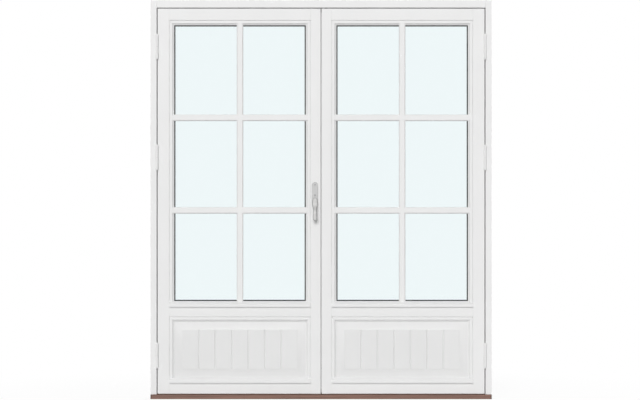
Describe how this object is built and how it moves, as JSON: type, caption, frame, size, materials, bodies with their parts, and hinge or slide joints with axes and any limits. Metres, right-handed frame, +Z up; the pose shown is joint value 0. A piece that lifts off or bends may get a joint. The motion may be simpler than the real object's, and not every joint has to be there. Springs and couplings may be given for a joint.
{
  "type": "outswing patio door",
  "caption": "White double patio door in its frame: glazed leaves with bars and grooved panels swing outwards on lift-off hinges, with a lever handle and flush bolts.",
  "frame": {"origin": "middle of the threshold's underside, halfway between the jambs' outer and inner faces", "axes": "+Z up, +X to the right seen from outside, +Y from outside to inside; the leaves swing out to -Y"},
  "size_m": [1.78, 0.163, 2.08],
  "materials": {
    "white_paint": "satin white paint",
    "white_metal": "satin white powder coat",
    "glass": "clear float glass",
    "spacer_alloy": "mill",
    "gasket_rubber": "matt",
    "handle_alloy": "satin",
    "lock_steel": "zinc plated",
    "hardwood": "oiled brown hardwood"
  },
  "bodies": {
    "frame": {"left_jamb": "white_paint", "right_jamb": "white_paint", "head": "white_paint", "threshold": "hardwood", "frame_gasket": "gasket_rubber", "frame_hinge_halves": "white_metal", "hinge_pins": "lock_steel", "head_strike": "lock_steel", "threshold_strike": "lock_steel"},
    "left_leaf": {"left_hinge_stile": "white_paint", "left_meeting_stile": "white_paint", "left_top_rail": "white_paint", "left_mid_rail": "white_paint", "left_bottom_rail": "white_paint", "left_outer_pane": "glass", "left_inner_pane": "glass", "left_glass_spacer": "spacer_alloy", "left_glass_gasket": "gasket_rubber", "left_glazing_tape": "gasket_rubber", "left_beads": "white_paint", "left_glass_weather_bead": "white_metal", "left_panel": "white_paint", "left_panel_weather_bead": "white_metal", "left_vertical_bar": "white_paint", "left_upper_bar": "white_paint", "left_lower_bar": "white_paint", "left_leaf_hinge_halves": "white_metal", "lock_case": "lock_steel", "lock_faceplate": "lock_steel", "outside_backplate": "handle_alloy", "inside_backplate": "handle_alloy", "closing_seal": "gasket_rubber"},
    "right_leaf": {"right_hinge_stile": "white_paint", "right_meeting_stile": "white_paint", "right_top_rail": "white_paint", "right_mid_rail": "white_paint", "right_bottom_rail": "white_paint", "right_outer_pane": "glass", "right_inner_pane": "glass", "right_glass_spacer": "spacer_alloy", "right_glass_gasket": "gasket_rubber", "right_glazing_tape": "gasket_rubber", "right_beads": "white_paint", "right_glass_weather_bead": "white_metal", "right_panel": "white_paint", "right_panel_weather_bead": "white_metal", "right_vertical_bar": "white_paint", "right_upper_bar": "white_paint", "right_lower_bar": "white_paint", "right_leaf_hinge_halves": "white_metal", "strike_plate": "lock_steel", "flush_bolt_faceplates": "lock_steel", "meeting_seal": "gasket_rubber"},
    "handle": {"spindle": "lock_steel", "lock_follower": "lock_steel", "outside_lever": "handle_alloy", "inside_lever": "handle_alloy"},
    "bolt": {"lock_bolt": "lock_steel"},
    "top_bolt": {"top_flush_bolt": "lock_steel"},
    "bottom_bolt": {"bottom_flush_bolt": "lock_steel"}
  },
  "joints": [
    {"name": "left_leaf_swing", "type": "hinge", "parent": "frame", "child": "left_leaf", "pos_m": [-0.856, -0.065, 0], "axis": [0, 0, -1], "range_deg": [0, 110]},
    {"name": "right_leaf_swing", "type": "hinge", "parent": "frame", "child": "right_leaf", "pos_m": [0.856, -0.065, 0], "axis": [0, 0, 1], "range_deg": [0, 110]},
    {"name": "handle_turn", "type": "hinge", "parent": "left_leaf", "child": "handle", "pos_m": [-0.032, 0, 1.03], "axis": [0, 1, 0], "range_deg": [0, 90]},
    {"name": "bolt_throw", "type": "slide", "parent": "left_leaf", "child": "bolt", "axis": [1, 0, 0], "range_m": [0, 0.014]},
    {"name": "top_bolt_slide", "type": "slide", "parent": "right_leaf", "child": "top_bolt", "axis": [0, 0, 1], "range_m": [0, 0.018]},
    {"name": "bottom_bolt_slide", "type": "slide", "parent": "right_leaf", "child": "bottom_bolt", "axis": [0, 0, -1], "range_m": [0, 0.018]}
  ],
  "couplings": [
    {"joint": "bolt_throw", "follows": "handle_turn", "m_per_rad": 0.0089127}
  ]
}
